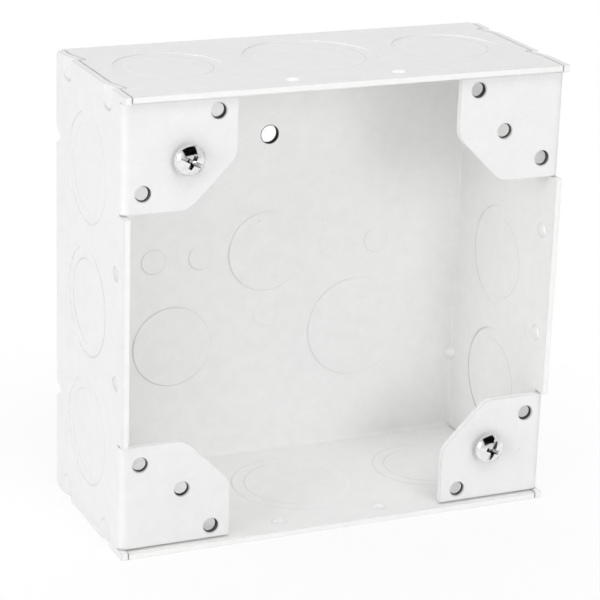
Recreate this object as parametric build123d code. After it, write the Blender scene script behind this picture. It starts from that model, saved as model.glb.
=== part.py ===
"""Square steel electrical box folded from one sheet, with two cover screws in its ears.

Frame: X to the right, Y from the open front to the back, Z up. The box stands on its bottom wall, and the
origin is under the middle of the box and its screw heads. All lengths are in millimetres.
"""

from build123d import *
from math import hypot
import os

# Sheet and outside of the box.
WIDTH = 119.06
HEIGHT = 119.06
DEPTH = 53.98
SHEET = 1.6
BACK_BEND = 2.6

# Corner seams between the full-height side walls and the top and bottom walls, and the clipped corners at
# the back of each side wall.
SEAM = 0.3
CORNER_CLIP = 3.7

# Corner ears, folded inwards from the side walls behind the rim.
EAR_SIZE = 29.5
EAR_RECESS = 1.8
EAR_BEND = 1.9
EAR_CUT = 12.4
EAR_ROUND = 5.0
STRIP = 1.9
EAR_GAP = 0.5
SLIT = 0.5

# Tapped holes in each ear, measured in from the outside of the box.
TAP_RADIUS = 2.1
EAR_HOLE_FAR = 24.5
EAR_HOLE_NEAR = 5.3
COVER_HOLE = 16.5

# Pair of tapped holes behind the rim of each wall.
RIM_HOLE_RADIUS = 2.0
RIM_HOLE_DEPTH = 5.8
RIM_HOLE_PITCH = 28.5

# Knockouts. A slug in the back is half sheared: it is sunk outside and stands proud inside. A slug in a
# wall is pressed back flush inside, which leaves a fine step outside.
HALF_INCH = 22.2
THREE_QUARTER = 28.2
ONE_INCH = 34.9
SHEAR = 0.3
SIDE_RING_DEPTH = 27.7
SIDE_RING_PITCH = 35.0
END_RING_PITCH = 38.2
BACK_RING_X = 27.0
BACK_RING_Z = 24.4
BACK_HOLE_RADIUS = 2.45
BACK_HOLE_RISE = 32.5

# Lanced dents that lock the side walls to the top and bottom walls. The lances are measured from the rim.
# A dent runs back from its lance in the left wall and forwards in the right wall.
LEFT_LANCES = (9.4, 39.7)
RIGHT_LANCES = (16.5, 43.8)
DENT_DEPTH = 1.75
DENT_LENGTH = 6.3
DENT_HEIGHT = 6.0
DENT_ROUND = 2.5
NOTCH_GAP = 0.6

# Stiffening darts pressed across the bends between the back and the side walls, at rises from the middle.
LEFT_DARTS = (-31.5, 37.5)
RIGHT_DARTS = (-35.7, 37.5)
LEFT_DART_REACH = 4.4
RIGHT_DART_REACH = 3.2
DART_HALF = 3.7
DART_ROUND = 1.0
DART_WALL = 1.0

# Cover screws, backed out so that their heads stand off the ears.
SCREW_LIFT = 1.5
SCREW_CLEARANCE = 0.06
SCREW_RADIUS = TAP_RADIUS - SCREW_CLEARANCE
SCREW_LENGTH = 9.5
SCREW_POINT = 0.6
HEAD_RADIUS = 4.1
HEAD_HEIGHT = 2.75
HEAD_SIDE = 0.7
DRIVE_SLOT = 1.1
DRIVE_SLOT_DEPTH = 1.1
DRIVE_CROSS = 4.4
DRIVE_CROSS_DEPTH = 1.9
DRIVE_CROSS_TIP = 0.8
SCREW_TURNS = (-28.0, 70.0)

# Levels worked out from the sizes above.
HEAD_PROUD = HEAD_HEIGHT + SCREW_LIFT - EAR_RECESS
HEAD_DOME = HEAD_HEIGHT - HEAD_SIDE
DOME_RADIUS = (HEAD_RADIUS**2 + HEAD_DOME**2) / (2 * HEAD_DOME)
RIM_Y = HEAD_PROUD - (DEPTH + HEAD_PROUD) / 2
BACK_Y = RIM_Y + DEPTH
EAR_Y = RIM_Y + EAR_RECESS
EAR_EDGE = SHEET + EAR_GAP
LEFT = -WIDTH / 2
MIDDLE = HEIGHT / 2
OVER = 1.0

ACROSS = Plane.YZ
LEVEL = Plane.XY.offset(MIDDLE)


def span(x0, x1, y0, y1, z0, z1):
    """Box between two values on each axis."""
    return Pos((x0 + x1) / 2, (y0 + y1) / 2, (z0 + z1) / 2) * Box(x1 - x0, y1 - y0, z1 - z0)


def on_both_ends(shape):
    """A shape at the bottom and its mirror image at the top."""
    return [shape, mirror(shape, about=LEVEL)]


def in_all_corners(shape):
    """A shape at the lower left and its mirror images in the other three corners."""
    return on_both_ends(shape) + on_both_ends(mirror(shape, about=ACROSS))


def pin(x, y, z, radius, length, turn=(90, 0, 0)):
    """Cylinder about a point, along Y unless it is turned."""
    return Pos(x, y, z) * Rot(*turn) * Cylinder(radius, length)


def folded_shell():
    """Back and four walls with their bends."""
    outside = span(LEFT, -LEFT, RIM_Y, BACK_Y, 0, HEIGHT)
    outside = fillet(outside.faces().sort_by(Axis.Y)[-1].edges(), BACK_BEND)
    inside = span(LEFT + SHEET, -LEFT - SHEET, RIM_Y - OVER, BACK_Y - SHEET, SHEET, HEIGHT - SHEET)
    inside = fillet(inside.faces().sort_by(Axis.Y)[-1].edges(), BACK_BEND - SHEET)
    return outside - inside


def corner_openings():
    """Seam along one corner, the clip at its back end and the room in the wall for one ear."""
    wall = LEFT + SHEET
    seam = span(wall, wall + SEAM, RIM_Y - OVER, BACK_Y - SHEET, -OVER, SHEET + OVER / 2)
    behind = BACK_Y + OVER
    corner = [(BACK_Y - CORNER_CLIP - OVER, -OVER), (behind, CORNER_CLIP + OVER), (behind, -OVER)]
    slant = Pos(LEFT - OVER, 0, 0) * (Plane.YZ * make_face(Polyline(*corner, close=True)))
    clip = extrude(slant, SHEET + OVER, dir=(1, 0, 0))
    room = span(LEFT - OVER, wall, RIM_Y - OVER, EAR_Y + EAR_BEND, STRIP, EAR_SIZE + SLIT)
    return [seam, clip, room]


def ear():
    """Lower left ear with its bend into the left wall."""
    centre = (LEFT + EAR_BEND, EAR_Y + EAR_BEND)
    outer_arc = CenterArc(centre, EAR_BEND, 180, 90)
    inner_arc = CenterArc(centre, EAR_BEND - SHEET, 180, 90)
    tip = LEFT + EAR_SIZE
    flat = Polyline(outer_arc @ 1, (tip, EAR_Y), (tip, EAR_Y + SHEET), inner_arc @ 1)
    root = Line(inner_arc @ 0, outer_arc @ 0)
    plan = make_face(outer_arc.edges() + flat.edges() + inner_arc.edges() + root.edges())
    strip = extrude(Pos(0, 0, EAR_EDGE) * plan, EAR_SIZE - EAR_EDGE, dir=(0, 0, 1))

    low, high = EAR_EDGE, EAR_SIZE
    free_edge = [(tip, low), (tip, high - EAR_CUT), (tip - EAR_CUT, high)]
    outline = make_face(Polyline((LEFT - OVER, low), *free_edge, (LEFT - OVER, high), close=True))
    blunt = outline.vertices().filter_by(lambda v: v.X > LEFT and v.Y > low + OVER)
    outline = fillet(blunt, EAR_ROUND)
    cutter = extrude(Plane.XZ * outline, DEPTH, both=True)
    return strip & cutter


def ear_holes():
    """The three tapped holes of the lower left ear."""
    places = [(EAR_HOLE_FAR, EAR_HOLE_NEAR), (EAR_HOLE_NEAR, EAR_HOLE_FAR), (COVER_HOLE, COVER_HOLE)]
    return [pin(LEFT + a, EAR_Y + SHEET / 2, b, TAP_RADIUS, 2 * SHEET) for a, b in places]


def rim_holes():
    """The pair of tapped holes in each of the four walls."""
    y = RIM_Y + RIM_HOLE_DEPTH
    holes = []
    for step in (-RIM_HOLE_PITCH / 2, RIM_HOLE_PITCH / 2):
        for wall in (LEFT, -LEFT):
            holes.append(pin(wall, y, MIDDLE + step, RIM_HOLE_RADIUS, 4 * SHEET, (0, 90, 0)))
        for level in (0, HEIGHT):
            holes.append(pin(step, y, level, RIM_HOLE_RADIUS, 4 * SHEET, (0, 0, 0)))
    return holes


def slug(place, across):
    """Knockout slug of a given diameter across a face, as deep as the shear on either side of it."""
    return place * Cylinder(across / 2, 2 * SHEAR)


def knockouts():
    """All recesses to cut outside, and the slugs of the back to add inside."""
    y = RIM_Y + SIDE_RING_DEPTH
    sunk, proud = [], []
    for step in (-1, 0, 1):
        for side in (-1, 1):
            wall = Pos(side * LEFT, y, MIDDLE + step * SIDE_RING_PITCH) * Rot(0, 90, 0)
            end = Pos(step * END_RING_PITCH, y, MIDDLE + side * MIDDLE)
            sunk.append(slug(wall, THREE_QUARTER))
            sunk.append(slug(end, THREE_QUARTER if step else ONE_INCH))
    back_rings = [
        (0, 0, HALF_INCH),
        (-BACK_RING_X, BACK_RING_Z, THREE_QUARTER),
        (-BACK_RING_X, -BACK_RING_Z, HALF_INCH),
        (BACK_RING_X, -BACK_RING_Z, THREE_QUARTER),
    ]
    for x, rise, across in back_rings:
        for level, group in ((BACK_Y, sunk), (BACK_Y - SHEET, proud)):
            group.append(slug(Pos(x, level, MIDDLE + rise) * Rot(90, 0, 0), across))
    return sunk, proud


def dent(start, end):
    """Lower left dent, deepest at its start: the wall that it takes, its tab and the notch that it needs."""
    wall = LEFT + SHEET
    way = 1 if end > start else -1
    rise = [(start, -OVER), (start, DENT_HEIGHT), (end, DENT_HEIGHT), (end, -OVER)]
    outline = make_face(Polyline(*rise, close=True))
    outline = fillet(outline.vertices().filter_by(lambda v: v.Y > 0), DENT_ROUND)
    region = extrude(Plane.YZ * outline, WIDTH, both=True)
    gap = region & span(LEFT - OVER, wall, min(start, end), max(start, end), -OVER, DENT_HEIGHT)

    deep = LEFT + DENT_DEPTH
    slant = make_face(Polyline((deep, start), (deep + SHEET, start), (wall, end), (LEFT, end), close=True))
    tab = extrude(slant, DENT_HEIGHT, dir=(0, 0, 1)) & region

    before = start - way * NOTCH_GAP
    clear = deep + SHEET + SEAM
    edge = [(wall, before), (clear, before), (clear, start), (wall + SEAM, end), (wall, end)]
    plan = Pos(0, 0, -OVER) * make_face(Polyline(*edge, close=True))
    notch = extrude(plan, SHEET + 2 * OVER, dir=(0, 0, 1))
    return gap, tab, notch


def dents():
    """Gaps and notches to cut and tabs to add, for both side walls at top and bottom."""
    made = [dent(RIM_Y + lance, RIM_Y + lance + DENT_LENGTH) for lance in LEFT_LANCES]
    for lance in RIGHT_LANCES:
        left_hand = dent(RIM_Y + lance, RIM_Y + lance - DENT_LENGTH)
        made.append([mirror(shape, about=ACROSS) for shape in left_hand])
    cuts, tabs = [], []
    for gap, tab, notch in made:
        cuts += on_both_ends(gap) + on_both_ends(notch)
        tabs += on_both_ends(tab)
    return cuts, tabs


def dart_prism(rise, reach, wall):
    """Rounded V laid across the left back bend at a rise from the middle, grown by a wall on all sides."""
    slope = Plane(origin=(LEFT, BACK_Y, MIDDLE + rise), x_dir=(1, -1, 0), z_dir=(1, 1, 0))
    tip = reach + wall * hypot(reach, DART_HALF) / DART_HALF
    wide = 2 * tip * DART_HALF / reach
    wedge = make_face(Polyline((-tip, wide), (tip, 0), (-tip, -wide), close=True))
    wedge = fillet(wedge.vertices().sort_by(Axis.X)[-1], DART_ROUND + wall)
    return extrude(slope * wedge, DEPTH / 2, both=True)


def darts():
    """Outer grooves to cut and inner ridges to add for the four darts."""
    corner = span(LEFT + SHEET / 2, 0, 0, BACK_Y - SHEET / 2, 0, HEIGHT)
    grooves, ridges = [], []
    for rise in LEFT_DARTS:
        grooves.append(dart_prism(rise, LEFT_DART_REACH, 0))
        ridges.append(dart_prism(rise, LEFT_DART_REACH, DART_WALL) & corner)
    for rise in RIGHT_DARTS:
        groove = dart_prism(rise, RIGHT_DART_REACH, 0)
        ridge = dart_prism(rise, RIGHT_DART_REACH, DART_WALL) & corner
        grooves.append(mirror(groove, about=ACROSS))
        ridges.append(mirror(ridge, about=ACROSS))
    return grooves, ridges


def box_body():
    """The folded sheet: shell, ears, locking dents, darts, knockouts and holes."""
    grooves, ridges = darts()
    gaps, tabs = dents()
    sunk, proud = knockouts()
    cuts = [cut for shape in corner_openings() for cut in in_all_corners(shape)]
    body = folded_shell().fuse(*ridges, *proud)
    body = body.cut(*grooves, *sunk, *cuts, *gaps)
    body = body.fuse(*tabs, *in_all_corners(ear()))
    holes = [hole for shape in ear_holes() for hole in in_all_corners(shape)]
    back_hole = pin(0, BACK_Y, MIDDLE + BACK_HOLE_RISE, BACK_HOLE_RADIUS, 6 * SHEET)
    return body.cut(*holes, *rim_holes(), back_hole)


def cover_screw():
    """Round-head screw standing on the origin, head up, with a combined slot and cross recess."""
    stand = (Align.CENTER, Align.CENTER, Align.MIN)
    dome = Pos(0, 0, HEAD_HEIGHT - DOME_RADIUS) * Sphere(DOME_RADIUS)
    head = Cylinder(HEAD_RADIUS, HEAD_HEIGHT, align=stand) & dome
    shank = Pos(0, 0, -SCREW_LENGTH) * Cylinder(SCREW_RADIUS, SCREW_LENGTH, align=stand)
    shank = chamfer(shank.edges().sort_by(Axis.Z)[0], SCREW_POINT)
    half = DRIVE_SLOT / 2
    slot = span(-HEAD_RADIUS, HEAD_RADIUS, -half, half, HEAD_HEIGHT - DRIVE_SLOT_DEPTH, HEAD_HEIGHT)
    floor = HEAD_HEIGHT - DRIVE_CROSS_DEPTH
    flank = [(-DRIVE_CROSS / 2, HEAD_HEIGHT), (-DRIVE_CROSS_TIP / 2, floor)]
    flank += [(-x, z) for x, z in reversed(flank)]
    wing = extrude(Plane.XZ * make_face(Polyline(*flank, close=True)), half, both=True)
    return head + shank - slot - wing - Rot(0, 0, 90) * wing


def cover_screws():
    """The two screws in the upper left and lower right ears, their heads standing off the ears."""
    inset = -LEFT - COVER_HOLE
    rise = MIDDLE - COVER_HOLE
    screw = cover_screw()
    screws = []
    for side, turn in zip((-1, 1), SCREW_TURNS):
        seat = Pos(side * inset, EAR_Y - SCREW_LIFT, MIDDLE - side * rise)
        place = seat * Rot(90, 0, 0) * Rot(0, 0, turn)
        screws.append(place * screw)
    return Compound(children=screws)


os.makedirs("parts", exist_ok=True)
export_step(box_body(), "parts/box_body.step")
export_step(cover_screws(), "parts/cover_screws.step")
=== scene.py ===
"""Studio scene for the folded steel electrical box: finish, threads, cover screws, light and camera."""
import math

import bmesh
import bpy
from mathutils import Matrix, Vector

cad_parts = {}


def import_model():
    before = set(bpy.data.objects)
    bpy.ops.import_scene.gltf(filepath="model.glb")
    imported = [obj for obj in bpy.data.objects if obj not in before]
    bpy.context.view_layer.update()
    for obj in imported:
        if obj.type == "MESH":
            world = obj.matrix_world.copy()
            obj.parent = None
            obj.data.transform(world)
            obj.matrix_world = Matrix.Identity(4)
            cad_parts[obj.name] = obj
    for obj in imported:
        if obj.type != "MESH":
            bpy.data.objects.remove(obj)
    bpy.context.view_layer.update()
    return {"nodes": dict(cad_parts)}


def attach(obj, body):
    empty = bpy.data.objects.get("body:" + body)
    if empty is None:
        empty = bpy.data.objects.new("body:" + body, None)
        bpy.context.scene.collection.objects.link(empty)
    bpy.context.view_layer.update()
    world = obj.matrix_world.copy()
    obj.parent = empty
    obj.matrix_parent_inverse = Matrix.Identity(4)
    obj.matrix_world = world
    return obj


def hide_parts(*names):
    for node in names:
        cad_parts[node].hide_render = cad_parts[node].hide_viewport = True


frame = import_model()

MM = 0.001

# Sizes of the box and its screws, in millimetres, and the screws' turns, in degrees, as in the part's
# source. Lengths below are in millimetres too, where nothing else is said.
WIDTH = 119.06
HEIGHT = 119.06
DEPTH = 53.98
SHEET = 1.6
EAR_RECESS = 1.8
TAP_RADIUS = 2.1
EAR_HOLE_FAR = 24.5
EAR_HOLE_NEAR = 5.3
COVER_HOLE = 16.5
RIM_HOLE_RADIUS = 2.0
RIM_HOLE_DEPTH = 5.8
RIM_HOLE_PITCH = 28.5
BACK_HOLE_RADIUS = 2.45
BACK_HOLE_RISE = 32.5
HEAD_RADIUS = 4.1
HEAD_HEIGHT = 2.75
HEAD_SIDE = 0.7
SCREW_LIFT = 1.5
SCREW_RADIUS = 2.04
SCREW_LENGTH = 9.5
SCREW_TURNS = (-28.0, 70.0)

# Levels worked out from the sizes above.
HEAD_PROUD = HEAD_HEIGHT + SCREW_LIFT - EAR_RECESS
RIM_Y = HEAD_PROUD - (DEPTH + HEAD_PROUD) / 2
BACK_Y = RIM_Y + DEPTH
EAR_Y = RIM_Y + EAR_RECESS
MIDDLE = HEIGHT / 2

# Knockouts and nail rings: the diameters and the places of their centres.
HALF_INCH = 22.2
THREE_QUARTER = 28.2
ONE_INCH = 34.9
NAIL_RING = 6.8
RING_DEPTH = 27.7
SIDE_RING_PITCH = 35.0
END_RING_PITCH = 38.2

# Rings in the back: the centre, the diameter, and how dark the line is on the side that it leans to and
# opposite, where a value below 0 is a light line, a painted highlight. Then the sides that the lines lean
# to, as a way to the right and up, and the stretch of the circle, in radii, over which the darkness
# changes. The line is the sheet's shear line; its lean to one side is painted shade.
BACK_RINGS = (
    (0.0, 0.0, HALF_INCH, 0.95, -0.05),
    (-27.0, 24.4, THREE_QUARTER, 0.05, 0.0),
    (-27.0, -24.4, HALF_INCH, 1.05, 0.5),
    (27.0, -24.4, THREE_QUARTER, 0.4, 0.05),
    (0.0, -18.2, NAIL_RING, 0.25, 0.15),
    (-32.5, 0.0, NAIL_RING, 0.9, 0.45),
    (-19.1, 0.0, NAIL_RING, 0.95, 0.1),
    (19.1, 0.0, NAIL_RING, 0.2, -0.1),
    (32.5, 0.0, NAIL_RING, 0.5, 0.15),
)
KNOCKOUT_LEAN = (-0.5, -0.87)
NAIL_LEAN = (-0.87, -0.5)
BACK_WINDOW = (0.0, 0.6)

# Lines in the walls: the side that they lean to, how dark they are there and opposite, the stretch of the
# circle, in radii, over which that changes, and how many times as wide as a plain line they are. The lean
# is painted shade, and a value below 0 is a painted highlight.
SIDE_OUTER = {"lean": (1, 0), "full": 1.3, "faint": 0.0, "window": (-0.1, 0.7), "wide": 1.8}
SIDE_INNER = {"lean": (-1, 0), "full": 0.8, "faint": 0.0, "window": (-0.5, 0.5), "wide": 1.3}
END_OUTER = {"lean": (-1, 0), "full": 0.7, "faint": -0.1}
END_INNER = {"lean": (1, 0), "full": 0.6, "faint": -0.3}

# Strengths of the lines in the left and the right wall, for the middle knockout and for the ones beside it,
# of the outer lines in the bottom and the top wall, and half the length over which one becomes the other.
MIDDLE_STRENGTHS = (1.0, 0.45)
BESIDE_STRENGTHS = (0.4, 1.0)
END_STRENGTHS = (1.0, 0.15)
CROSSOVER = 10.0

# Half widths of a line's core and of its faded edge, and of the zone about it that is kept clear of the
# painted shade along edges and in corners.
LINE_CORE = 0.06
LINE_EDGE = 0.24
RING_ZONE = 0.7

# Share of the painted shade on the steps' flanks in the side walls, the end walls and the back, where a
# value below 0 makes it painted light.
SIDE_STEP = 0.3
END_STEP = 0.8
BACK_STEP = -1.0

# Tone of the sheet and the share of it that each mark takes off, where a value below 0 makes it lighter.
# The marks of the outer side, the edges and the corners are painted shade, that of the rim bores is painted
# light, that of the steps is painted shade in the walls and painted light in the back, and the lines are
# shear lines with painted shade and highlights.
SHEET_TONE = 0.92
# Painted shade: the outside of the walls and back and the front of the ears are made darker than the
# inside.
OUTER_SHADE = 0.135
SPECK_SHADE = 0.10
LINE_SHADE = 0.28
STEP_SHADE = 0.12
RIM_BORE_SHADE = -0.05
BACK_BORE_SHADE = 0.97
EDGE_SHADE = 0.18
CORNER_SHADE = 0.15

# How much of the outer side's painted shade the rims have, and the share of a screw's tone that the painted
# shade in its recess and under its head takes off.
RIM_SHARE = 0.55
RECESS_SHADE = 0.78

# Reach of the painted shade along the edges, in the corners and seams and in the screw recess, and the
# openness where it is full and gone.
EDGE_REACH = 0.36
CORNER_REACH = 0.9
RECESS_REACH = 1.3
CLOSED = 0.55
OPEN = 0.95

# Distances from a bore's radius at which its mark is full and gone.
RIM_BORE_FADE = (0.03, 0.06)
BACK_BORE_FADE = (0.05, 0.30)

# Least parts of a normal for a face that lies flat in a wall and for one that faces a way.
FLAT = 0.9
FACING = 0.5

# Depths that tell the outside from the inside: of the rims from their front, of the ears to both sides of
# their front, and of the back from the middle of the box.
RIM_FRONT = 0.9
EAR_FRONT = 0.5
BACK_HALF = 20.0

# Heights of the fine bumps in the sheet and in the screws' plate.
SHEET_BUMP = 0.006
SCREW_BUMP = 0.05

# Thread of the tapped holes and the screws, with the flat root and the flank as shares of half a pitch.
PITCH = 0.79
THREAD_DEPTH = 0.34
ROOT_FLAT = 0.12
FLANK = 0.72

# Threads of the holes: the length over which they grow, their gaps to the side and the ends of the hole,
# and the turn from one hole to the next, in radians.
HOLE_LEAD = 0.8
HOLE_GAP = 0.005
HOLE_END_GAP = 0.03
HOLE_TURN = 1.7

# Tones of the holes, the forward parts of a normal between which a root becomes a flank, and the depths
# between which the light mouth ends. The light on the flanks turned to the front and on the mouth is
# painted light, and the dark on the rest is painted shade.
ROOT_TONE = 0.004
FLANK_TONE = 0.3
MOUTH_TONE = 0.6
FLANK_FACING = (0.70, 0.85)
MOUTH_LIGHT = 0.35
MOUTH_DARK = 0.6

# Head of the screw: its broken edges are points inset from its side, at heights from the seat and from the
# top of the side. The dome goes on from a share of its full angle. Then the numbers of steps in the dome
# and round the head.
SEAT_EDGE = ((0.15, 0.0), (0.04, 0.04), (0.0, 0.15))
DOME_EDGE = ((0.0, -0.25), (0.03, -0.08), (0.12, 0.06))
DOME_START = 0.94
DOME_STEPS = 16
HEAD_STEPS = 96

# Slot and cross recess: lengths and widths at the top and at the floor, depths, how far their cutters stand
# over the head, and the width of a broken edge and the least angle, in degrees, of an edge that is broken.
SLOT_LENGTHS = (9.0, 9.0)
SLOT_WIDTHS = (1.25, 1.0)
SLOT_DEPTH = 1.05
CROSS_LENGTHS = (5.6, 0.7)
CROSS_WIDTHS = (1.2, 0.9)
CROSS_DEPTH = 1.9
CUT_OVER = 0.5
EDGE_BREAK = 0.07
EDGE_ANGLE = 40.0

# Shank of the screw: the gap under the head, the height of its point and the share to which that narrows.
NECK = 0.02
POINT = 0.35
POINT_TAPER = 0.72

# Angles, in degrees, over which edges stay sharp on the blank head, the screws and the holes' threads.
HEAD_SHARP = 35.0
SCREW_SHARP = 32.0
THREAD_SHARP = 50.0

# Level of the surround, and the lamps: the name, the way from the box, the width, the height, the power in
# watts and whether the gloss mirrors it, all for a reach of 1. With a greater reach, a lamp stands farther
# off and grows to match.
WORLD_LEVEL = 0.69
LAMP_REACH = 2.2
LAMPS = (
    ("key", (0.12, -1.25, 0.36), 0.42, 0.42, 3.15, False),
    ("high", (0.0, -0.75, 1.19), 1.0, 0.6, 5.05, False),
    ("left", (-1.2, -0.56, 0.36), 0.5, 0.7, 4.7, True),
    ("top", (0.1, 0.75, 1.14), 1.0, 0.8, 2.9, True),
    ("side", (-1.2, 0.5, 0.34), 0.8, 0.8, 2.6, True),
)

# Way from the box to the dark card, how far the card reaches to the sides and up and down, and half the
# width of its soft edge, on a unit sphere.
CARD_WAY = Vector((0.12, -0.6, 0.79))
CARD_HALVES = (0.6, 0.45)
CARD_EDGE = 0.04

# Floor, in metres: half its side and the distances between which it fades to plain white, and how much of
# that white it has at the least.
FLOOR_HALF = 6.0
FADE_START = 0.06
FADE_END = 0.16
FADE_LEAST = 0.8

# Camera: its place from the lower left corner of the rim, in millimetres, its turn to the right, tilt down
# and roll, in degrees, its lens and square sensor, in millimetres, and its range, in metres.
CAMERA_OFFSET = Vector((-188.495, -525.15, 261.278))
CAMERA_TURN = 24.103
CAMERA_TILT = 18.924
CAMERA_ROLL = 1.867
CAMERA_LENS = 146.66
CAMERA_SENSOR = 36.0
CAMERA_RANGE = (0.01, 50.0)


class Net:
    """Short ways to add and join shader nodes in one tree."""

    def __init__(self, tree):
        self.tree = tree
        tree.nodes.clear()

    def node(self, kind, **settings):
        made = self.tree.nodes.new(kind)
        for name, value in settings.items():
            setattr(made, name, value)
        return made

    def put(self, socket, value):
        """Link a socket to another one, or set it to a plain value."""
        if isinstance(value, bpy.types.NodeSocket):
            self.tree.links.new(value, socket)
        else:
            socket.default_value = value

    def math(self, operation, *values):
        made = self.node("ShaderNodeMath", operation=operation)
        for socket, value in zip(made.inputs, values):
            self.put(socket, value)
        return made.outputs[0]

    def plus(self, first, *others):
        for other in others:
            first = self.math("ADD", first, other)
        return first

    def times(self, first, *others):
        for other in others:
            first = self.math("MULTIPLY", first, other)
        return first

    def minus(self, first, second):
        return self.math("SUBTRACT", first, second)

    def size(self, value):
        """A value without its sign."""
        return self.math("ABSOLUTE", value)

    def above(self, value, limit):
        """1 where a value is over a limit, 0 elsewhere."""
        return self.math("GREATER_THAN", value, limit)

    def below(self, value, limit):
        """1 where a value is under a limit, 0 elsewhere."""
        return self.math("LESS_THAN", value, limit)

    def distance(self, across, along):
        """Length of two coordinates taken together."""
        return self.math("SQRT", self.plus(self.times(across, across), self.times(along, along)))

    def ramp(self, value, low, high, out_low, out_high):
        """Smooth step from one output to another as a value goes from low to high."""
        made = self.node("ShaderNodeMapRange", interpolation_type="SMOOTHSTEP")
        for socket, number in zip(made.inputs[:5], (value, low, high, out_low, out_high)):
            self.put(socket, number)
        return made.outputs["Result"]

    def fade(self, value, full, gone):
        """1 up to one length, 0 from another one on, both in millimetres."""
        return self.ramp(value, full * MM, gone * MM, 1.0, 0.0)

    def split(self, vector):
        made = self.node("ShaderNodeSeparateXYZ")
        self.put(made.inputs[0], vector)
        return made.outputs[0], made.outputs[1], made.outputs[2]

    def noise(self, place, waves, detail=2.0, rough=0.5):
        """Noise with a number of waves to the metre."""
        made = self.node("ShaderNodeTexNoise")
        self.put(made.inputs["Vector"], place)
        made.inputs["Scale"].default_value = waves
        made.inputs["Detail"].default_value = detail
        made.inputs["Roughness"].default_value = rough
        return made.outputs["Fac"]

    def vary(self, place, waves, low, high, detail=2.0, rough=0.5, window=(0.3, 0.7)):
        """Noise spread between two outputs over a window of its own values."""
        return self.ramp(self.noise(place, waves, detail, rough), *window, low, high)

    def grey(self, value, warm=None):
        """Grey of one value, or warm grey where its blue is scaled down."""
        made = self.node("ShaderNodeCombineColor")
        for socket in made.inputs[:3]:
            self.put(socket, value)
        if warm is not None:
            self.put(made.inputs[2], self.times(value, warm))
        return made.outputs[0]

    def bump(self, height, distance, strength):
        made = self.node("ShaderNodeBump")
        made.inputs["Strength"].default_value = strength
        made.inputs["Distance"].default_value = distance
        self.put(made.inputs["Height"], height)
        return made.outputs["Normal"]

    def mixed(self, factor, first, second):
        """First shader where a factor is 0, second where it is 1."""
        made = self.node("ShaderNodeMixShader")
        self.put(made.inputs[0], factor)
        self.put(made.inputs[1], first.outputs[0])
        self.put(made.inputs[2], second.outputs[0])
        return made

    def surface(self, shader, kind="ShaderNodeOutputMaterial"):
        out = self.node(kind)
        self.put(out.inputs["Surface"], shader.outputs[0])


def material(name):
    made = bpy.data.materials.new(name)
    made.use_nodes = True
    return made, Net(made.node_tree)


def ring_line(net, across, along, diameter, lean, full, faint, window=(-0.7, 0.7), wide=1.0):
    """Line along a circle about the origin, full on the side that it leans to, as painted shade, and the
    zone about it.
    """
    radius = diameter / 2 * MM
    gap = net.size(net.minus(net.distance(across, along), radius))
    line = net.fade(gap, wide * LINE_CORE, wide * LINE_EDGE)
    towards = net.plus(net.times(across, lean[0] / radius), net.times(along, lean[1] / radius))
    # Painted shade: the line darkens towards the side that it leans to; below 0 it is a painted highlight.
    side = net.ramp(towards, *window, faint, full)
    return net.times(line, side), net.below(gap, RING_ZONE * MM)


def side_rings(net, x, deep, up):
    """Lines of the knockouts in the side walls, to the front in the left wall, to the back in the right."""
    around = net.times(deep, net.math("SIGN", x))
    rise = net.size(up)
    beside = net.minus(rise, SIDE_RING_PITCH * MM)
    rings = []
    for along, strengths in ((rise, MIDDLE_STRENGTHS), (beside, BESIDE_STRENGTHS)):
        strength = net.ramp(x, -CROSSOVER * MM, CROSSOVER * MM, *strengths)
        outer = ring_line(net, around, along, THREE_QUARTER, **SIDE_OUTER)
        inner = ring_line(net, around, along, HALF_INCH, **SIDE_INNER)
        rings += [(net.times(line, strength), zone) for line, zone in (outer, inner)]
    return rings


def end_rings(net, x, deep, up):
    """Lines of the knockouts in the top and bottom walls, the outer ones faint in the top wall."""
    over = net.math("SIGN", up)
    strength = net.ramp(up, -CROSSOVER * MM, CROSSOVER * MM, *END_STRENGTHS)
    rings = []
    for step in (-1, 0, 1):
        across = net.minus(x, step * END_RING_PITCH * MM)
        outer, inner = (THREE_QUARTER, HALF_INCH) if step else (ONE_INCH, THREE_QUARTER)
        line, zone = ring_line(net, across, deep, outer, **END_OUTER)
        rings.append((net.times(line, strength), zone))
        rings.append(ring_line(net, net.times(across, over), deep, inner, **END_INNER))
    return rings


def back_rings(net, x, up):
    """Lines of the knockouts and nail holes in the back."""
    rings = []
    for ring_x, ring_z, size, full, faint in BACK_RINGS:
        across = net.minus(x, ring_x * MM)
        along = net.minus(up, ring_z * MM)
        lean = NAIL_LEAN if size == NAIL_RING else KNOCKOUT_LEAN
        rings.append(ring_line(net, across, along, size, lean, full, faint, BACK_WINDOW))
    return rings


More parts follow.
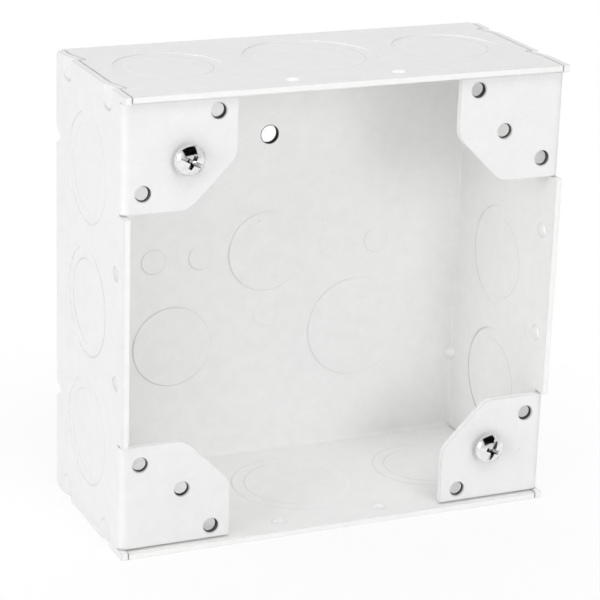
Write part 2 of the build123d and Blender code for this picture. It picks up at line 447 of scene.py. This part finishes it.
def knockout_lines(net, place, facing):
    """Lines of the knockouts, dark above 0 and light below it as painted highlights, the zones about them
    and their steps, whose mark is painted shade, or painted light in the back.
    """
    x, y, z = net.split(place)
    face_x, face_y, face_z = [net.size(part) for part in net.split(facing)]
    up = net.minus(z, MIDDLE * MM)
    deep = net.minus(y, (RIM_Y + RING_DEPTH) * MM)
    by_side = net.above(net.size(x), (WIDTH / 2 - 2 * SHEET) * MM)
    by_end = net.above(net.size(up), (MIDDLE - 2 * SHEET) * MM)
    by_back = net.above(y, (BACK_Y - 2 * SHEET) * MM)
    groups = (
        (side_rings(net, x, deep, up), face_x, by_side, SIDE_STEP),
        (end_rings(net, x, deep, up), face_z, by_end, END_STEP),
        (back_rings(net, x, up), face_y, by_back, BACK_STEP),
    )
    lines = []
    zones = []
    steps = []
    for rings, face, by_wall, share in groups:
        flat = net.times(net.above(face, FLAT), by_wall)
        zone = net.times(net.plus(*[zone for line, zone in rings]), by_wall)
        lines.append(net.times(net.plus(*[line for line, zone in rings]), by_wall))
        zones.append(zone)
        # Painted shade on the slanted flanks of the knockout steps, painted light where the share is below
        # 0.
        steps.append(net.times(zone, net.times(net.minus(1.0, flat), share)))
    zone = net.math("MINIMUM", net.plus(*zones), 1.0)
    step = net.math("MINIMUM", net.plus(*steps), 1.0)
    return net.plus(*lines), zone, step


def rim_bores(net, place):
    """Mask for painted light: 1 in the bores of the holes behind the rim, 0 elsewhere."""
    x, y, z = net.split(place)
    up = net.minus(z, MIDDLE * MM)
    deep = net.minus(y, (RIM_Y + RIM_HOLE_DEPTH) * MM)
    gaps = []
    for spot in (up, x):
        aside = net.minus(net.size(spot), RIM_HOLE_PITCH / 2 * MM)
        gaps.append(net.minus(net.distance(deep, aside), RIM_HOLE_RADIUS * MM))
    return net.fade(net.math("MINIMUM", *gaps), *RIM_BORE_FADE)


def back_bore(net, place):
    """1 in the bore of the hole in the back, fading out beside it."""
    x, _, z = net.split(place)
    rise = net.minus(z, (MIDDLE + BACK_HOLE_RISE) * MM)
    gap = net.minus(net.distance(x, rise), BACK_HOLE_RADIUS * MM)
    return net.fade(gap, *BACK_BORE_FADE)


def outer_side(net, place, facing):
    """1 on the outside of the walls and back and on the front of the ears, less on the rims, 0 inside; the
    mask of the outer side's painted shade.
    """
    x, y, z = net.split(place)
    face_x, face_y, face_z = net.split(facing)
    up = net.minus(z, MIDDLE * MM)
    outward = []
    for spot, face, reach in ((x, face_x, WIDTH / 2), (up, face_z, MIDDLE)):
        turned = net.above(net.times(net.math("SIGN", spot), face), FACING)
        beyond = net.above(net.size(spot), (reach - SHEET) * MM)
        outward.append(net.times(turned, beyond))
    behind = net.times(net.above(face_y, FACING), net.above(y, BACK_HALF * MM))
    on_ears = net.math("COMPARE", y, EAR_Y * MM, EAR_FRONT * MM)
    on_rims = net.times(net.below(y, (RIM_Y + RIM_FRONT) * MM), RIM_SHARE)
    before = net.times(net.below(face_y, -FACING), net.plus(on_ears, on_rims))
    return net.math("MINIMUM", net.plus(net.plus(*outward), net.plus(behind, before)), 1.0)


def closeness(net, reach, inside, local=True):
    """Mask for painted shade: 1 along edges, if inside, or else in corners, and 0 on open faces."""
    near = net.node("ShaderNodeAmbientOcclusion", samples=2, inside=inside, only_local=local)
    near.inputs["Distance"].default_value = reach * MM
    return net.ramp(near.outputs["AO"], CLOSED, OPEN, 1.0, 0.0)


def sheet_material():
    """Pale zinc-coated sheet: soft mottle, fine grain, knockout lines and dark bores, with painted shade on
    edges, corners and outside, and painted light in rim bores.
    """
    made, net = material("pale_zinc_sheet")
    coord = net.node("ShaderNodeTexCoord")
    place = coord.outputs["Object"]
    facing = coord.outputs["Normal"]

    lines, zones, steps = knockout_lines(net, place, facing)
    line = net.times(lines, net.vary(place, waves=90.0, low=0.55, high=1.0, window=(0.35, 0.6)))
    edge_shade_breakup = net.vary(place, waves=70.0, low=0.6, high=1.0, window=(0.35, 0.65))
    clear = net.minus(1.0, zones)
    # Painted shade along the convex edges, broken up by noise and kept clear of the knockout rings.
    edge = net.times(closeness(net, EDGE_REACH, True), edge_shade_breakup, clear)
    # Painted shade in the concave corners and in the gaps between parts, kept clear of the knockout rings.
    corner_shade = net.times(closeness(net, CORNER_REACH, False), clear)
    bore = back_bore(net, place)
    outer = outer_side(net, place, facing)

    cloud = net.vary(place, waves=32.0, low=-0.008, high=0.006, detail=3.0)
    mottle = net.vary(place, waves=260.0, low=-0.012, high=0.012, detail=4.0, rough=0.6)
    grain = net.vary(place, waves=2600.0, low=-0.016, high=0.016, rough=0.6, window=(0.25, 0.75))
    specks = net.vary(place, waves=520.0, low=0.0, high=1.0, detail=1.0, rough=0.4, window=(0.79, 0.85))
    tone = net.plus(cloud, mottle, grain, SHEET_TONE)
    marks = (
        # Painted shade on the outer side, less of it on the rims.
        (outer, OUTER_SHADE),
        (specks, SPECK_SHADE),
        (line, LINE_SHADE),
        (steps, STEP_SHADE),
        # Painted light in the bores of the rim holes.
        (rim_bores(net, place), RIM_BORE_SHADE),
        (bore, BACK_BORE_SHADE),
        (edge, EDGE_SHADE),
        (corner_shade, CORNER_SHADE),
    )
    for mark, shade in marks:
        tone = net.times(tone, net.minus(1.0, net.times(mark, shade)))
    tone = net.math("MINIMUM", tone, 1.0)
    warm = net.vary(place, waves=24.0, low=0.988, high=1.0, window=(0.35, 0.65))
    rough = net.vary(place, waves=120.0, low=0.50, high=0.62, detail=3.0)

    shader = net.node("ShaderNodeBsdfPrincipled")
    net.put(shader.inputs["Base Color"], net.grey(tone, net.math("MAXIMUM", warm, outer)))
    shader.inputs["Metallic"].default_value = 0.12
    shader.inputs["Specular IOR Level"].default_value = 0.35
    net.put(shader.inputs["Roughness"], net.math("MAXIMUM", rough, bore))
    waves = net.noise(place, waves=1500.0, detail=3.0)
    net.put(shader.inputs["Normal"], net.bump(waves, SHEET_BUMP * MM, strength=0.4))
    net.surface(shader)
    return made


def thread_material():
    """Bare cut steel of the tapped holes, with painted light on the mouth and on the flanks towards the
    front, and painted shade on the dark roots.
    """
    made, net = material("cut_thread_steel")
    coord = net.node("ShaderNodeTexCoord")
    place = coord.outputs["Object"]
    front = net.times(net.split(coord.outputs["Normal"])[1], -1.0)
    # Painted light on faces turned to the front, painted shade on the rest.
    lit_flank = net.ramp(front, *FLANK_FACING, ROOT_TONE, FLANK_TONE)
    depth = net.minus(net.split(place)[1], EAR_Y * MM)
    # Painted light at the mouth of the hole.
    lit_mouth = net.ramp(depth, MOUTH_LIGHT * MM, MOUTH_DARK * MM, MOUTH_TONE, 0.0)
    lit = net.math("MAXIMUM", lit_flank, lit_mouth)
    tone = net.times(lit, net.vary(place, waves=900.0, low=0.8, high=1.0, detail=3.0))
    shader = net.node("ShaderNodeBsdfPrincipled")
    net.put(shader.inputs["Base Color"], net.grey(tone))
    shader.inputs["Specular IOR Level"].default_value = 0.08
    net.put(shader.inputs["Roughness"], net.vary(place, waves=600.0, low=0.6, high=0.75))
    net.surface(shader)
    return made


def screw_material():
    """Bright zinc plate with fine polishing marks, and painted shade in the recess and under the head."""
    made, net = material("bright_zinc_screw")
    place = net.node("ShaderNodeTexCoord").outputs["Object"]
    plate = net.vary(place, waves=700.0, low=0.80, high=0.88, detail=3.0)
    # Painted shade in the recess and under the head, where it stands close over the ear.
    recess = closeness(net, RECESS_REACH, False, local=False)
    tone = net.times(plate, net.minus(1.0, net.times(recess, RECESS_SHADE)))
    rough = net.vary(place, waves=1400.0, low=0.07, high=0.16, detail=3.0)
    shader = net.node("ShaderNodeBsdfPrincipled")
    net.put(shader.inputs["Base Color"], net.grey(tone))
    shader.inputs["Metallic"].default_value = 1.0
    net.put(shader.inputs["Roughness"], rough)
    waves = net.noise(place, waves=1100.0)
    net.put(shader.inputs["Normal"], net.bump(waves, SCREW_BUMP * MM, strength=0.25))
    net.surface(shader)
    return made


def add_object(name, data):
    made = bpy.data.objects.new(name, data)
    bpy.context.collection.objects.link(made)
    return made


def built_mesh(name, build):
    """Mesh from a function that fills a bmesh, its faces turned outwards."""
    mesh = bpy.data.meshes.new(name)
    bm = bmesh.new()
    build(bm)
    bmesh.ops.recalc_face_normals(bm, faces=bm.faces)
    bm.to_mesh(mesh)
    bm.free()
    return mesh


def smooth_mesh(mesh, sharp):
    """Shade a mesh smooth, but for edges sharper than an angle in degrees."""
    mesh.shade_smooth()
    mesh.set_sharp_from_angle(angle=math.radians(sharp))


def new_piece(name, build, finish, sharp):
    """Object from mesh code, with a finish."""
    mesh = built_mesh(name, build)
    smooth_mesh(mesh, sharp)
    mesh.materials.append(finish)
    return add_object(name, mesh)


def lathe(bm, profile, steps):
    """Closed skin from a profile of radius and height turned about Z, the ends on the axis."""
    rows = []
    for radius, height in profile:
        if radius == 0.0:
            rows.append([bm.verts.new((0.0, 0.0, height * MM))])
            continue
        row = []
        for step in range(steps):
            angle = 2 * math.pi * step / steps
            across = radius * MM * math.cos(angle)
            along = radius * MM * math.sin(angle)
            row.append(bm.verts.new((across, along, height * MM)))
        rows.append(row)
    for low, high in zip(rows, rows[1:]):
        for step in range(steps):
            after = (step + 1) % steps
            ring = [low[step % len(low)], low[after % len(low)]]
            ring += [high[after % len(high)], high[step % len(high)]]
            corners = list(dict.fromkeys(ring))
            if len(corners) > 2:
                bm.faces.new(corners)


def tooth(turns):
    """Blunt thread profile from 0 in the root to 1 on the crest."""
    wave = abs((turns % 1.0) * 2 - 1)
    return min(1.0, max(0.0, (wave - ROOT_FLAT) / FLANK))


def threaded_tube(bm, root, crest, low, high, steps=48, rows_per_turn=12, lead=0.0):
    """Open tube about Z with a helical thread between two radii that fades over a lead at the high end."""
    count = max(2, round((high - low) / PITCH * rows_per_turn))
    rows = []
    for row in range(count + 1):
        height = low + (high - low) * row / count
        grown = min(1.0, (high - height) / lead) if lead else 1.0
        ring = []
        for step in range(steps):
            radius = root + (crest - root) * grown * tooth(height / PITCH - step / steps)
            angle = 2 * math.pi * step / steps
            spot = Vector((radius * math.cos(angle), radius * math.sin(angle), height))
            ring.append(bm.verts.new(spot * MM))
        rows.append(ring)
    for lower, upper in zip(rows, rows[1:]):
        for step in range(steps):
            after = (step + 1) % steps
            bm.faces.new((lower[step], lower[after], upper[after], upper[step]))
    return rows


def head_profile():
    """Half section of the round head: flat seat, short side with broken edges, dome to the axis."""
    dome = HEAD_HEIGHT - HEAD_SIDE
    radius = (HEAD_RADIUS**2 + dome**2) / (2 * dome)
    start = math.asin(HEAD_RADIUS / radius)
    points = [(0.0, 0.0)]
    points += [(HEAD_RADIUS - inset, height) for inset, height in SEAT_EDGE]
    points += [(HEAD_RADIUS - inset, HEAD_SIDE + height) for inset, height in DOME_EDGE]
    for step in range(1, DOME_STEPS + 1):
        angle = start * DOME_START * (1 - step / DOME_STEPS)
        points.append((radius * math.sin(angle), HEAD_HEIGHT - radius + radius * math.cos(angle)))
    return points


def wedge(bm, lengths, widths, depth, turn):
    """Tapered bar across the top of the head, down to a depth, used as a cutter."""
    levels = (HEAD_HEIGHT + CUT_OVER, HEAD_HEIGHT - depth)
    corners = []
    for length, width, height in zip(lengths, widths, levels):
        for sign_x, sign_y in ((-1, -1), (1, -1), (1, 1), (-1, 1)):
            spot = Vector((sign_x * length / 2, sign_y * width / 2, height))
            corners.append(bm.verts.new(Matrix.Rotation(turn, 3, "Z") @ spot * MM))
    for face in ((0, 1, 2, 3), (7, 6, 5, 4), (0, 4, 5, 1), (1, 5, 6, 2), (2, 6, 7, 3), (3, 7, 4, 0)):
        bm.faces.new([corners[index] for index in face])


def carved(head):
    """Mesh of a head with its slot and cross recess cut and its edges broken."""
    bars = (
        (SLOT_LENGTHS, SLOT_WIDTHS, SLOT_DEPTH, 0.0),
        (CROSS_LENGTHS, CROSS_WIDTHS, CROSS_DEPTH, 0.0),
        (CROSS_LENGTHS, CROSS_WIDTHS, CROSS_DEPTH, math.pi / 2),
    )
    helpers = []
    for bar in bars:
        helper = add_object("cutter", built_mesh("cutter", lambda bm: wedge(bm, *bar)))
        helpers.append(helper)
        cut = head.modifiers.new("recess", "BOOLEAN")
        cut.operation = "DIFFERENCE"
        cut.solver = "EXACT"
        cut.object = helper
    edge = head.modifiers.new("edge", "BEVEL")
    edge.width = EDGE_BREAK * MM
    edge.segments = 2
    edge.limit_method = "ANGLE"
    edge.angle_limit = math.radians(EDGE_ANGLE)
    edge.use_clamp_overlap = True
    graph = bpy.context.evaluated_depsgraph_get()
    mesh = bpy.data.meshes.new_from_object(head.evaluated_get(graph))
    head.modifiers.clear()
    for helper in helpers:
        bpy.data.objects.remove(helper, do_unlink=True)
    return mesh


def add_shank(bm):
    """Threaded shank under the head, closed by a blunt point."""
    low = -SCREW_LENGTH + POINT
    rows = threaded_tube(bm, SCREW_RADIUS - THREAD_DEPTH, SCREW_RADIUS, low, -NECK)
    tip = bm.verts.new((0.0, 0.0, -SCREW_LENGTH * MM))
    collar = []
    for vert in rows[0]:
        spot = (vert.co.x * POINT_TAPER, vert.co.y * POINT_TAPER, -SCREW_LENGTH * MM)
        collar.append(bm.verts.new(spot))
    for step in range(len(collar)):
        after = (step + 1) % len(collar)
        bm.faces.new((collar[step], collar[after], rows[0][after], rows[0][step]))
        bm.faces.new((tip, collar[after], collar[step]))


def cover_screw(name, finish, place):
    """Round-head machine screw with a slot and cross recess and a rolled thread."""
    screw = new_piece(name, lambda bm: lathe(bm, head_profile(), HEAD_STEPS), finish, HEAD_SHARP)
    mesh = carved(screw)
    bm = bmesh.new()
    bm.from_mesh(mesh)
    add_shank(bm)
    bmesh.ops.recalc_face_normals(bm, faces=bm.faces)
    bmesh.ops.transform(bm, matrix=place, verts=bm.verts)
    bm.to_mesh(mesh)
    bm.free()
    smooth_mesh(mesh, SCREW_SHARP)
    blank = screw.data
    screw.data = mesh
    bpy.data.meshes.remove(blank)
    return screw


def empty_tapped_holes():
    """Centres of the ear holes that hold no screw."""
    centres = []
    for side_x in (-1, 1):
        for side_z in (-1, 1):
            insets = [(EAR_HOLE_FAR, EAR_HOLE_NEAR), (EAR_HOLE_NEAR, EAR_HOLE_FAR)]
            if side_x == side_z:
                insets.append((COVER_HOLE, COVER_HOLE))
            for inset_x, inset_z in insets:
                centres.append((side_x * (WIDTH / 2 - inset_x), MIDDLE + side_z * (MIDDLE - inset_z)))
    return centres


def hole_threads(bm):
    """Threads of all the empty ear holes, each turned on from the last."""
    root = TAP_RADIUS - HOLE_GAP
    crest = TAP_RADIUS - THREAD_DEPTH
    end = SHEET / 2 - HOLE_END_GAP
    upright = Matrix.Rotation(math.radians(90), 4, "X")
    for index, (x, z) in enumerate(empty_tapped_holes()):
        rows = threaded_tube(bm, root, crest, -end, end, steps=40, rows_per_turn=14, lead=HOLE_LEAD)
        turn = upright @ Matrix.Rotation(index * HOLE_TURN, 4, "Z")
        place = Matrix.Translation(Vector((x, EAR_Y + SHEET / 2, z)) * MM) @ turn
        bmesh.ops.transform(bm, matrix=place, verts=[vert for row in rows for vert in row])


def screw_place(side, turn):
    """Seat of a cover screw: in the upper left ear for side -1, in the lower right ear for side 1."""
    x = side * (WIDTH / 2 - COVER_HOLE)
    z = MIDDLE - side * (MIDDLE - COVER_HOLE)
    seat = Vector((x, EAR_Y - SCREW_LIFT, z))
    upright = Matrix.Rotation(math.radians(90), 4, "X")
    return Matrix.Translation(seat * MM) @ upright @ Matrix.Rotation(math.radians(turn), 4, "Z")


def dress():
    """Finishes on the folded sheet, threads in its ears and the two screws."""
    sheet = frame["nodes"]["box_body"]
    sheet.data.materials.clear()
    sheet.data.materials.append(sheet_material())

    threads = new_piece("ear_hole_threads", hole_threads, thread_material(), THREAD_SHARP)
    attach(threads, "root")

    finish = screw_material()
    names = ("cover_screw_upper", "cover_screw_lower")
    for name, side, turn in zip(names, (-1, 1), SCREW_TURNS):
        screw = cover_screw(name, finish, screw_place(side, turn))
        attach(screw, "root")
        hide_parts("cover_screws")


def seen_or_mirrored(net):
    """1 for rays from the camera, from gloss or through glass."""
    path = net.node("ShaderNodeLightPath")
    first = net.math("MAXIMUM", path.outputs["Is Camera Ray"], path.outputs["Is Glossy Ray"])
    return net.math("MAXIMUM", first, path.outputs["Is Transmission Ray"])


def floor():
    """Wide white floor that keeps the soft shadow under the box and fades to plain white."""
    made, net = material("studio_floor")
    place = net.node("ShaderNodeTexCoord").outputs["Object"]
    length = net.node("ShaderNodeVectorMath", operation="LENGTH")
    net.put(length.inputs[0], place)
    away = net.ramp(length.outputs["Value"], FADE_START, FADE_END, FADE_LEAST, 1.0)
    matt = net.node("ShaderNodeBsdfDiffuse")
    net.put(matt.inputs["Color"], net.grey(net.vary(place, waves=40.0, low=0.93, high=0.95)))
    white = net.node("ShaderNodeEmission")
    net.surface(net.mixed(net.times(away, seen_or_mirrored(net)), matt, white))

    mesh = bpy.data.meshes.new("floor")
    signs = ((-1, -1), (1, -1), (1, 1), (-1, 1))
    corners = [(sign_x * FLOOR_HALF, sign_y * FLOOR_HALF, 0) for sign_x, sign_y in signs]
    mesh.from_pydata(corners, [], [(0, 1, 2, 3)])
    mesh.materials.append(made)
    ground = add_object("floor", mesh)


def dark_card(net):
    """1 towards a dark card high in front of the box, which only the gloss sees, and 0 elsewhere."""
    direction = net.node("ShaderNodeTexCoord").outputs["Generated"]
    ahead = CARD_WAY.normalized()
    aside = ahead.cross(Vector((0.0, 0.0, 1.0))).normalized()
    parts = []
    for axis in (ahead, aside, aside.cross(ahead)):
        part = net.node("ShaderNodeVectorMath", operation="DOT_PRODUCT")
        net.put(part.inputs[0], direction)
        part.inputs[1].default_value = axis
        parts.append(part.outputs["Value"])
    card = net.above(parts[0], 0.0)
    for part, half in zip(parts[1:], CARD_HALVES):
        card = net.times(card, net.ramp(net.size(part), half - CARD_EDGE, half + CARD_EDGE, 1.0, 0.0))
    path = net.node("ShaderNodeLightPath")
    return net.times(card, path.outputs["Is Glossy Ray"])


def world():
    """White surround for the camera and the gloss, with one dark card for the screws to mirror."""
    made = bpy.data.worlds.new("studio")
    made.use_nodes = True
    net = Net(made.node_tree)
    lit = net.node("ShaderNodeBackground")
    lit.inputs["Strength"].default_value = WORLD_LEVEL
    white = net.node("ShaderNodeBackground")
    net.put(white.inputs["Strength"], net.minus(1.0, dark_card(net)))
    net.surface(net.mixed(seen_or_mirrored(net), lit, white), "ShaderNodeOutputWorld")
    bpy.context.scene.world = made


def softbox(name, way, width, height, power, mirrored):
    """Rectangular area lamp that faces the middle of the box, out along a way from it."""
    lamp = bpy.data.lights.new(name, "AREA")
    lamp.shape = "RECTANGLE"
    lamp.size = width * LAMP_REACH
    lamp.size_y = height * LAMP_REACH
    lamp.energy = power * LAMP_REACH**2
    way = Vector(way)
    holder = add_object(name, lamp)
    holder.location = way * LAMP_REACH + Vector((0.0, 0.0, MIDDLE * MM))
    holder.rotation_euler = (-way).to_track_quat("-Z", "Y").to_euler()
    holder.visible_glossy = mirrored


def camera():
    """Camera at the photograph's view. It looks along Y until it is turned, tilted and rolled."""
    lens = bpy.data.cameras.new("camera")
    lens.sensor_width = CAMERA_SENSOR
    lens.sensor_height = CAMERA_SENSOR
    lens.lens = CAMERA_LENS
    lens.clip_start, lens.clip_end = CAMERA_RANGE
    turn = Matrix.Rotation(math.radians(-CAMERA_TURN), 4, "Z")
    tilt = Matrix.Rotation(math.radians(90.0 - CAMERA_TILT), 4, "X")
    roll = Matrix.Rotation(math.radians(CAMERA_ROLL), 4, "Z")
    place = (Vector((-WIDTH / 2, RIM_Y, 0.0)) + CAMERA_OFFSET) * MM
    eye = add_object("camera", lens)
    eye.matrix_world = Matrix.Translation(place) @ turn @ tilt @ roll
    bpy.context.scene.camera = eye


dress()
floor()
world()
for lamp in LAMPS:
    softbox(*lamp)
camera()
bpy.context.scene.view_settings.view_transform = "Standard"
